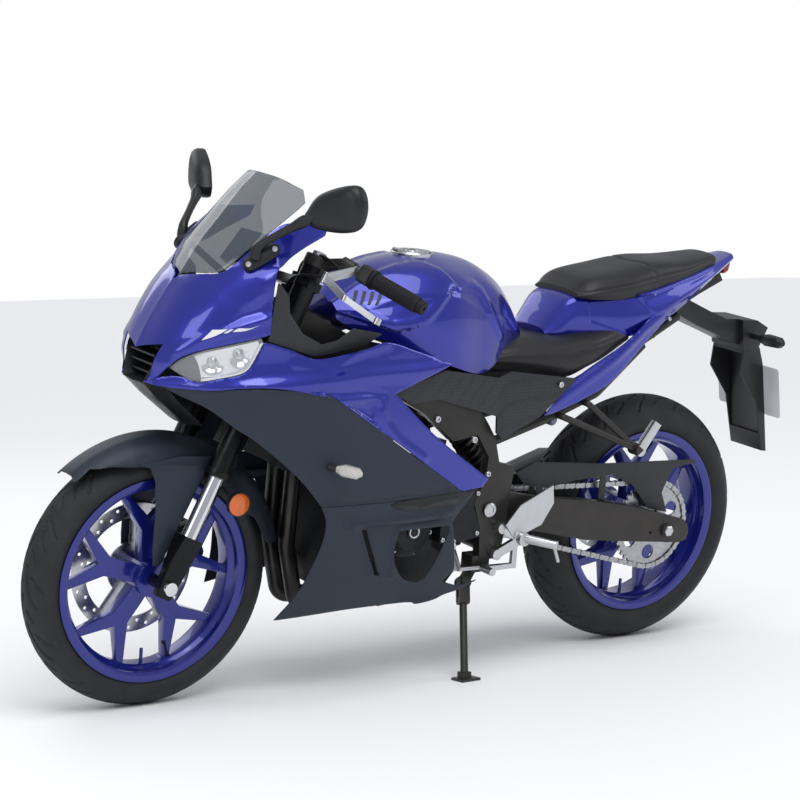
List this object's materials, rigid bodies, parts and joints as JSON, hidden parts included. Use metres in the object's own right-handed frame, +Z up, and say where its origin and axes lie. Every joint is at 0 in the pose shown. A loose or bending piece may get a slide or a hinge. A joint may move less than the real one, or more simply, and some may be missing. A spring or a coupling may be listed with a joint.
{
  "type": "motorcycle",
  "caption": "Fully faired sport bike in deep blue and slate grey with cast Y-spoke wheels, clip-on bars, stepped seat and a deployed side stand.",
  "frame": {"origin": "middle of the bounding box on the ground, with the bike leaning on its side stand", "axes": "+X towards the front wheel, +Y to the rider's left, +Z up"},
  "size_m": [2.077, 0.7766, 1.2316],
  "materials": {
    "blue_gloss": "gloss metallic",
    "slate_matte": "matte",
    "black_plastic": "satin",
    "grey_plastic": "matte",
    "texture_cover": "textured",
    "frame_dark": "satin",
    "cast_dark": "cast",
    "silver_cast": "brushed",
    "fork_dark": "satin",
    "fork_chrome": "polished",
    "pipe_steel": "brushed",
    "muffler_steel": "brushed",
    "radiator_black": "matte",
    "wheel_blue": "gloss",
    "disc_steel": "brushed",
    "chain_steel": "plain",
    "tyre_rubber": "matte",
    "rubber_black": "matte",
    "seat_vinyl": "grained",
    "smoke_screen": "smoked",
    "lamp_glass": "clear",
    "clear_lens": "clear",
    "red_lens": "clear",
    "plate_white": "gloss"
  },
  "bodies": {
    "frame": {"main_frame": "frame_dark", "subframe": "frame_dark", "swingarm": "frame_dark", "shock": "frame_dark", "rear_caliper": "cast_dark", "engine": "cast_dark", "engine_covers": "cast_dark", "radiator": "radiator_black", "exhaust_pipes": "pipe_steel", "muffler": "muffler_steel", "fuel_tank": "blue_gloss", "tail_cowl": "blue_gloss", "pillion_seat": "seat_vinyl", "rider_seat": "seat_vinyl", "tail_lamp": "red_lens", "under_tail": "black_plastic", "rear_signals": "clear_lens", "number_plate": "plate_white", "front_cowl": "blue_gloss", "windscreen": "smoke_screen", "headlamps": "lamp_glass", "side_panels": "blue_gloss", "mid_panels": "slate_matte", "belly_panels": "slate_matte", "nose_duct": "black_plastic", "chin": "slate_matte", "inner_trims": "grey_plastic", "side_covers": "texture_cover", "mirrors": "black_plastic", "fairing_stay": "frame_dark", "front_signals": "clear_lens", "rider_footrests": "silver_cast", "pedals": "silver_cast", "passenger_footrests": "silver_cast", "chain": "chain_steel", "chain_guard": "grey_plastic"},
    "steering": {"fork": "fork_dark", "fork_sliders": "fork_chrome", "handlebars": "frame_dark", "grips": "rubber_black", "switch_boxes": "black_plastic", "hand_levers": "silver_cast", "front_fender": "slate_matte", "front_caliper": "cast_dark"},
    "front_wheel": {"front_tyre": "tyre_rubber", "front_rim": "wheel_blue", "front_disc": "disc_steel"},
    "rear_wheel": {"rear_tyre": "tyre_rubber", "rear_rim": "wheel_blue", "rear_disc": "disc_steel", "rear_sprocket": "chain_steel"},
    "side_stand": {"side_stand": "frame_dark"},
    "fuel_cap": {"fuel_cap": "silver_cast"}
  },
  "joints": [
    {"name": "steering", "type": "hinge", "parent": "frame", "child": "steering", "pos_m": [0.71107, -0.10518, 0.27423], "axis": [-0.4226, 0.1418, 0.8951], "range_deg": [-27, 27]},
    {"name": "front_wheel_spin", "type": "hinge", "parent": "steering", "child": "front_wheel", "pos_m": [0.74554, -0.10266, 0.29011], "axis": [0, 0.9877, -0.1564], "continuous": true},
    {"name": "rear_wheel_spin", "type": "hinge", "parent": "frame", "child": "rear_wheel", "pos_m": [-0.63446, -0.09934, 0.31107], "axis": [0, 0.9877, -0.1564], "continuous": true},
    {"name": "side_stand_swing", "type": "hinge", "parent": "frame", "child": "side_stand", "pos_m": [-0.02846, 0.02066, 0.21213], "axis": [0.188, 0.9088, 0.3724], "range_deg": [0, 100]},
    {"name": "fuel_cap_hinge", "type": "hinge", "parent": "frame", "child": "fuel_cap", "pos_m": [0.13854, 0.00908, 0.99559], "axis": [0, 0.9877, -0.1564], "range_deg": [0, 100]}
  ]
}
